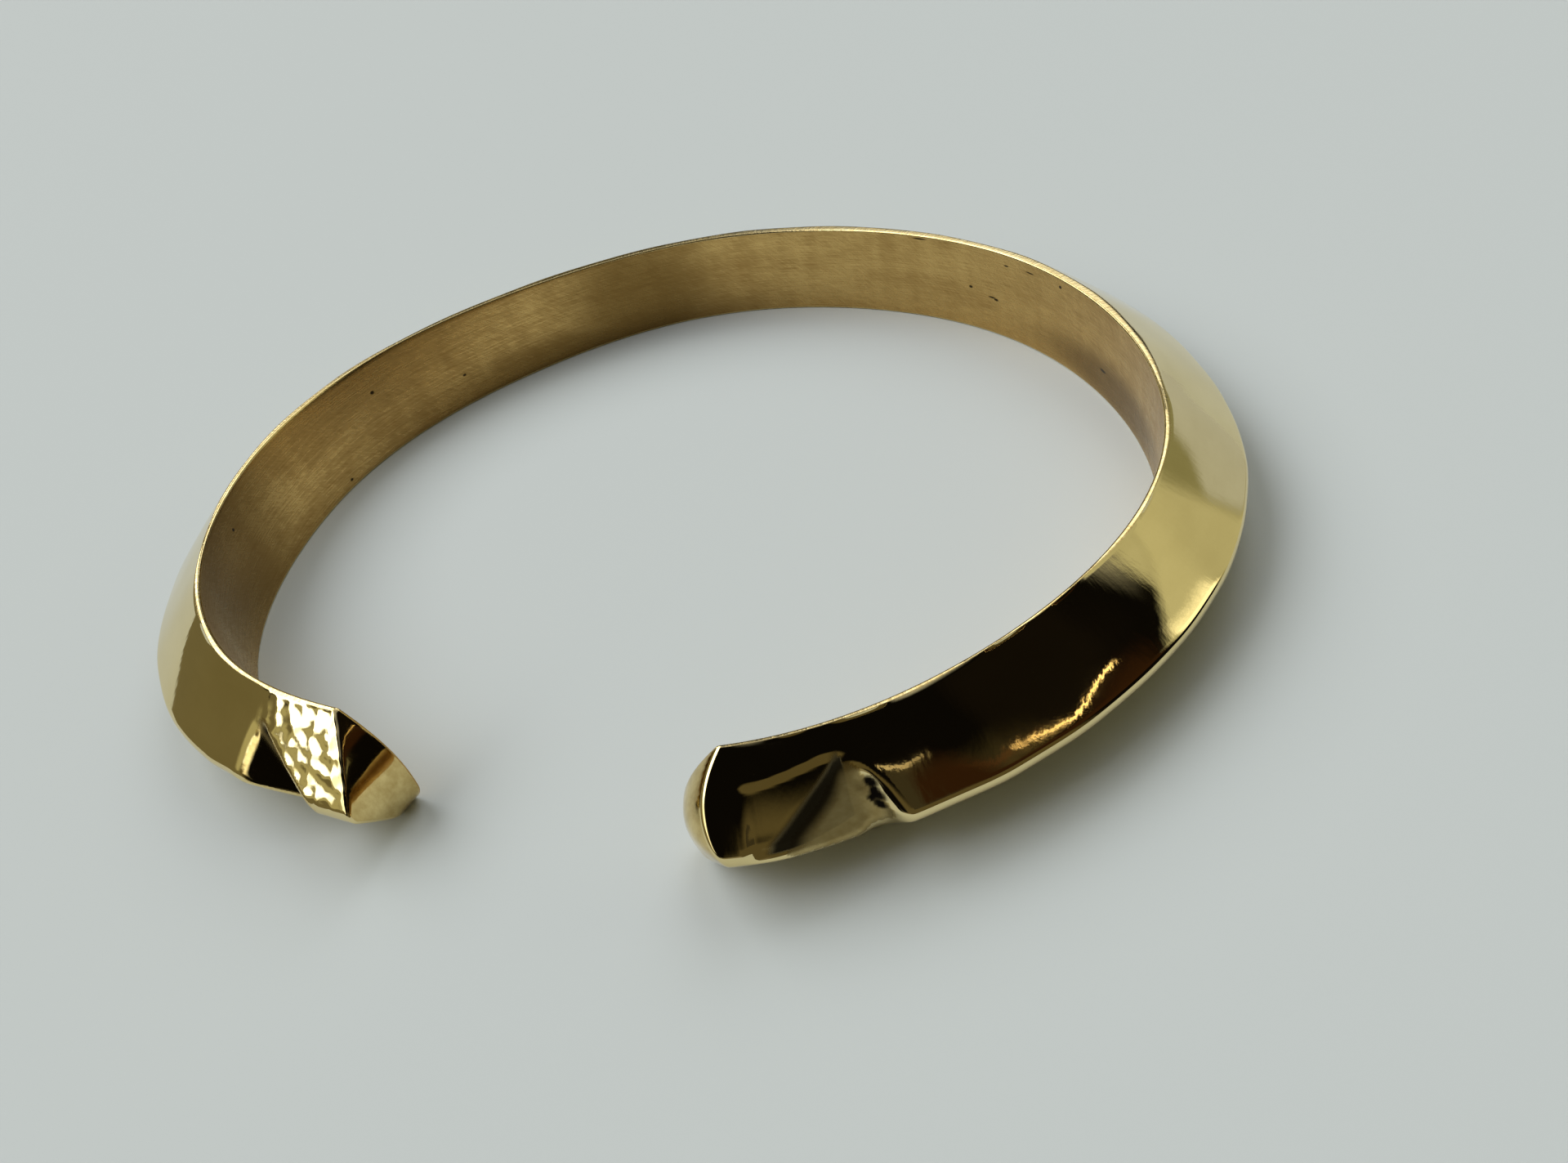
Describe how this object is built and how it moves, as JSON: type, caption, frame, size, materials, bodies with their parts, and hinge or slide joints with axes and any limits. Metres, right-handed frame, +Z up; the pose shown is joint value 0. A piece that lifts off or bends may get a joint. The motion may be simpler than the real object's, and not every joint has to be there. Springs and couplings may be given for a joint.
{
  "type": "bangle bracelet",
  "caption": "Open oval cuff bangle in solid brass, flat on the inside and ridged on the outside, with a groove filed across the ridge before each rounded tip.",
  "frame": {"origin": "middle of the bounding box, on the surface that the lower filed edge rests on", "axes": "+Z up along the wrist axis, -Y from the middle of the wrist space towards the gap, +X across the widest part of the oval"},
  "size_m": [0.0696, 0.0626, 0.007],
  "materials": {
    "brass": "hand polished on the outer slopes, satin with fine scratches and casting pits on the inner face"
  },
  "bodies": {
    "root": {"cuff_band": "brass"}
  },
  "joints": []
}
